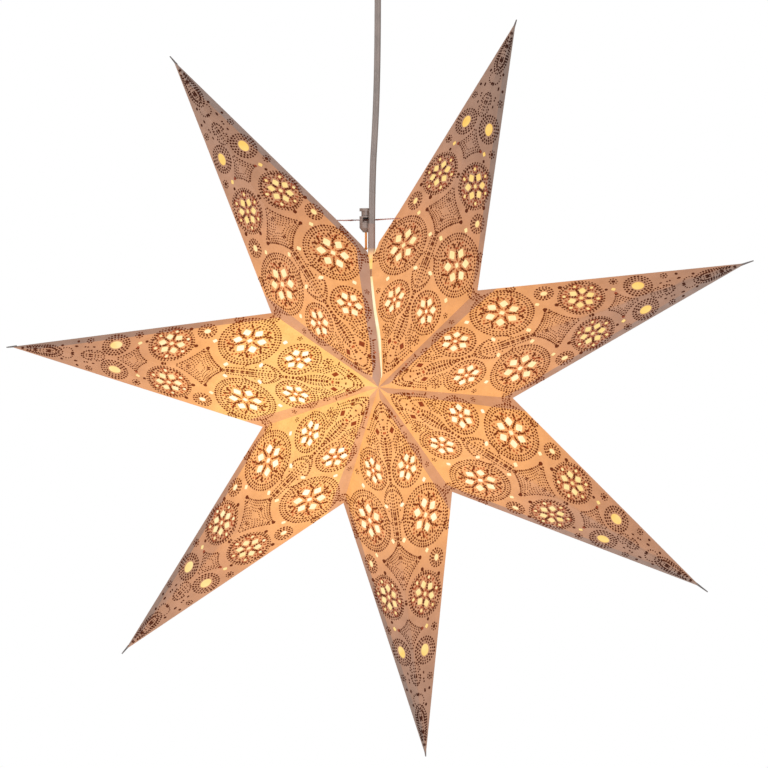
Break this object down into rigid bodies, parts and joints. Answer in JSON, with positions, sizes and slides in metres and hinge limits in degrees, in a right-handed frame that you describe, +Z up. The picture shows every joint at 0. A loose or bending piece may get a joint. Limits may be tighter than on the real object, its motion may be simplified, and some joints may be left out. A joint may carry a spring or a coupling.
{
  "type": "paper star pendant lamp",
  "caption": "Folding paper star lantern with printed, pierced, tissue-lined points, hung on a flat lamp cable from a ceiling rose, with a screw-in bulb inside.",
  "frame": {"origin": "middle of the ceiling bracket's top face, between its two fixing holes", "axes": "+Z up into the ceiling, the star lies in the XZ plane and its front faces -Y"},
  "size_m": [0.6, 0.1444, 0.675],
  "materials": {
    "paper": "uncoated printed paper, matte, warm from the lamp behind it",
    "tissue": "thin pale tissue, lit through",
    "string": "twisted thin string",
    "lock_plastic": "grey moulded plastic",
    "cable_sheath": "satin grey-brown sheath",
    "cable_sleeve": "satin sleeve",
    "holder_plastic": "white moulded plastic",
    "holder_ceramic": "glazed white",
    "contact_brass": "bright stamped",
    "lead_insulation": "satin insulation",
    "bulb_metal": "bright rolled",
    "bulb_solder": "dull solder",
    "bulb_insulation": "black vitrified",
    "bulb_glass": "clear, faintly warm",
    "stem_glass": "clear",
    "filament": "lit phosphor",
    "bracket_steel": "zinc plated",
    "canopy_paint": "satin white",
    "grip_plastic": "satin white"
  },
  "bodies": {
    "ceiling_rose": {"ceiling_bracket": "bracket_steel", "canopy": "canopy_paint", "canopy_screws": "bracket_steel", "cord_grip": "grip_plastic", "grip_nut": "grip_plastic", "terminal_block": "grip_plastic", "block_screws": "contact_brass", "cable_tail": "cable_sheath"},
    "cord": {"cable": "cable_sheath", "cable_sleeve": "cable_sleeve"},
    "pendant": {"holder_cap": "holder_plastic", "holder_skirt": "holder_plastic", "holder_core": "holder_ceramic", "screw_shell": "contact_brass", "centre_contact": "contact_brass", "terminal_screws": "contact_brass", "holder_leads": "lead_insulation", "point_5": "paper", "tissue_5": "tissue"},
    "fan_4": {"point_4": "paper", "tissue_4": "tissue"},
    "fan_3": {"point_3": "paper", "tissue_3": "tissue"},
    "fan_2": {"point_2": "paper", "tissue_2": "tissue"},
    "fan_6": {"point_6": "paper", "tissue_6": "tissue"},
    "fan_7": {"point_7": "paper", "tissue_7": "tissue"},
    "fan_1": {"point_1": "paper", "tissue_1": "tissue", "closing_tab_front": "paper", "closing_tab_back": "paper", "tie_string": "string"},
    "cord_lock": {"cord_lock_body": "lock_plastic", "cord_lock_spring": "bracket_steel", "string_tail": "string"},
    "lock_button": {"cord_lock_button": "lock_plastic"},
    "bulb_tip": {"bulb_contact": "bulb_solder", "bulb_insulator": "bulb_insulation"},
    "bulb": {"bulb_cap": "bulb_metal", "bulb_glass": "bulb_glass", "bulb_stem": "stem_glass", "bulb_filaments": "filament"}
  },
  "joints": [
    {"name": "pendant_swing", "type": "hinge", "parent": "ceiling_rose", "child": "cord", "pos_m": [0, 0, -0.038], "axis": [0, 1, 0], "range_deg": [-15, 15]},
    {"name": "pendant_turn", "type": "hinge", "parent": "cord", "child": "pendant", "pos_m": [-0.00505, 0, -0.29623], "axis": [0, 0, 1], "range_deg": [-180, 180], "stiffness_Nm_per_rad": 0.004},
    {"name": "star_fold", "type": "hinge", "parent": "pendant", "child": "fan_4", "pos_m": [0.0045, 0, -0.368], "axis": [0, 1, 0], "range_deg": [0, 46.76], "deforming": ["point_4", "tissue_4", "point_5", "tissue_5"]},
    {"name": "fold_3", "type": "hinge", "parent": "fan_4", "child": "fan_3", "pos_m": [0.0045, 0, -0.368], "axis": [0, 1, 0], "range_deg": [0, 46.76], "deforming": ["point_3", "tissue_3"]},
    {"name": "fold_2", "type": "hinge", "parent": "fan_3", "child": "fan_2", "pos_m": [0.0045, 0, -0.368], "axis": [0, 1, 0], "range_deg": [0, 46.76], "deforming": ["point_2", "tissue_2"]},
    {"name": "fold_6", "type": "hinge", "parent": "pendant", "child": "fan_6", "pos_m": [0.0045, 0, -0.368], "axis": [0, -1, 0], "range_deg": [0, 46.76], "deforming": ["point_6", "tissue_6"]},
    {"name": "fold_7", "type": "hinge", "parent": "fan_6", "child": "fan_7", "pos_m": [0.0045, 0, -0.368], "axis": [0, -1, 0], "range_deg": [0, 46.76], "deforming": ["point_7", "tissue_7"]},
    {"name": "fold_1", "type": "hinge", "parent": "fan_7", "child": "fan_1", "pos_m": [0.0045, 0, -0.368], "axis": [0, -1, 0], "range_deg": [0, 46.76], "deforming": ["point_1", "tissue_1", "closing_tab_front", "closing_tab_back", "tie_string"]},
    {"name": "bulb_advance", "type": "slide", "parent": "pendant", "child": "bulb_tip", "axis": [0, 0, -1], "range_m": [0, 0.01128]},
    {"name": "bulb_turn", "type": "hinge", "parent": "bulb_tip", "child": "bulb", "pos_m": [-0.00505, 0, -0.29623], "axis": [0, 0, -1], "range_deg": [0, 1442]},
    {"name": "lock_slide", "type": "slide", "parent": "fan_1", "child": "cord_lock", "axis": [1, 0, 0], "range_m": [-0.003, 0.003]},
    {"name": "lock_press", "type": "slide", "parent": "cord_lock", "child": "lock_button", "axis": [0, 0, -1], "range_m": [0, 0.0025], "stiffness_N_per_m": 400, "springref_m": -0.0025, "deforming": ["cord_lock_spring"]}
  ],
  "couplings": [
    {"joint": "fold_3", "follows": "star_fold", "ratio": 1},
    {"joint": "fold_2", "follows": "star_fold", "ratio": 1},
    {"joint": "fold_6", "follows": "star_fold", "ratio": 1},
    {"joint": "fold_7", "follows": "star_fold", "ratio": 1},
    {"joint": "fold_1", "follows": "star_fold", "ratio": 1},
    {"joint": "bulb_turn", "follows": "bulb_advance", "rad_per_m": 2228.1}
  ]
}
